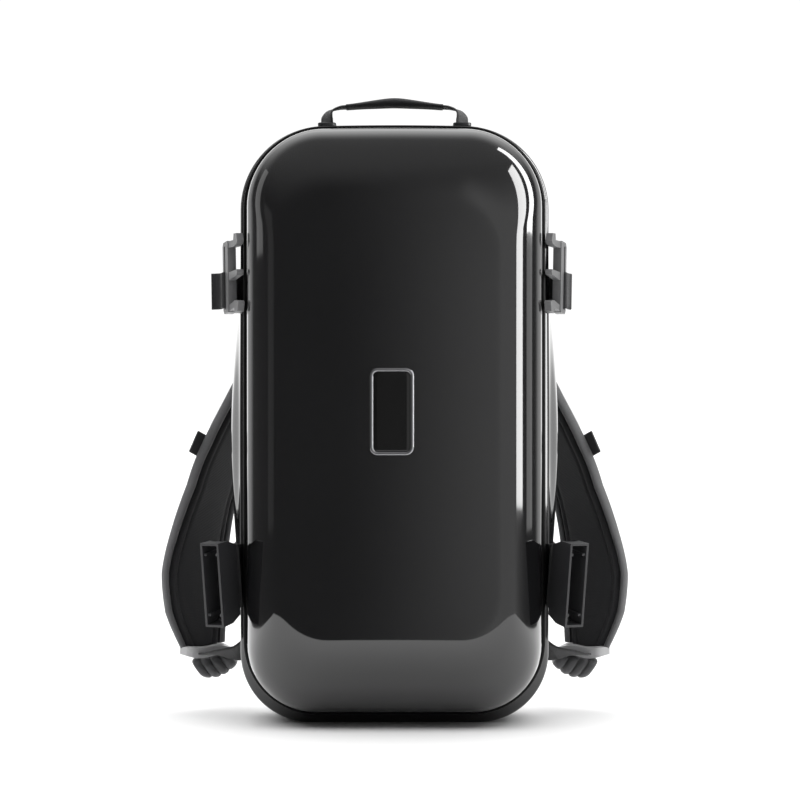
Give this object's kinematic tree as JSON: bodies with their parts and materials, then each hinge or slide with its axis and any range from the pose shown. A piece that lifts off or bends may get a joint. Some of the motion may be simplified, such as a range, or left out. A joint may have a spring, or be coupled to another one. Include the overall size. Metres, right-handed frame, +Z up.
{
  "type": "hard shell backpack",
  "caption": "Upright hard shell backpack: two glossy half shells with a beaded zip seam, top handle, back pad, curved shoulder straps and open side buckles.",
  "frame": {"origin": "middle of the overall box's base, on the surface that the backpack stands on", "axes": "+Z up along the backpack's height, -Y out of the front shell's face, +Y out of the back pad towards the wearer, +X to the right seen from the front"},
  "size_m": [0.4006, 0.269, 0.514],
  "materials": {
    "shell": "gloss",
    "bead": "satin",
    "zip_tape": "matte",
    "webbing": "matte",
    "padding": "matte",
    "moulding": "satin",
    "badge": "polished",
    "badge_face": "gloss"
  },
  "bodies": {
    "root": {"front_shell": "shell", "seam_bead": "bead", "zip_band": "zip_tape", "zip_slider": "moulding", "rear_shell": "shell", "back_pad": "padding", "badge_frame": "badge", "badge_plate": "badge_face", "handle_strap": "webbing", "handle_grip": "padding", "handle_anchor_left": "moulding", "handle_anchor_right": "moulding", "shoulder_strap_left": "padding", "shoulder_strap_right": "padding", "strap_tab_left": "webbing", "strap_tab_right": "webbing", "lower_webbing_left": "webbing", "lower_webbing_right": "webbing", "webbing_roll_left": "webbing", "webbing_roll_right": "webbing", "strap_adjuster_left": "moulding", "strap_adjuster_right": "moulding", "socket_buckle_left": "moulding", "socket_buckle_right": "moulding", "clip_buckle_left": "moulding", "clip_buckle_right": "moulding", "lower_strap_left": "webbing", "lower_strap_right": "webbing", "upper_strap_left": "webbing", "upper_strap_right": "webbing"}
  },
  "joints": []
}
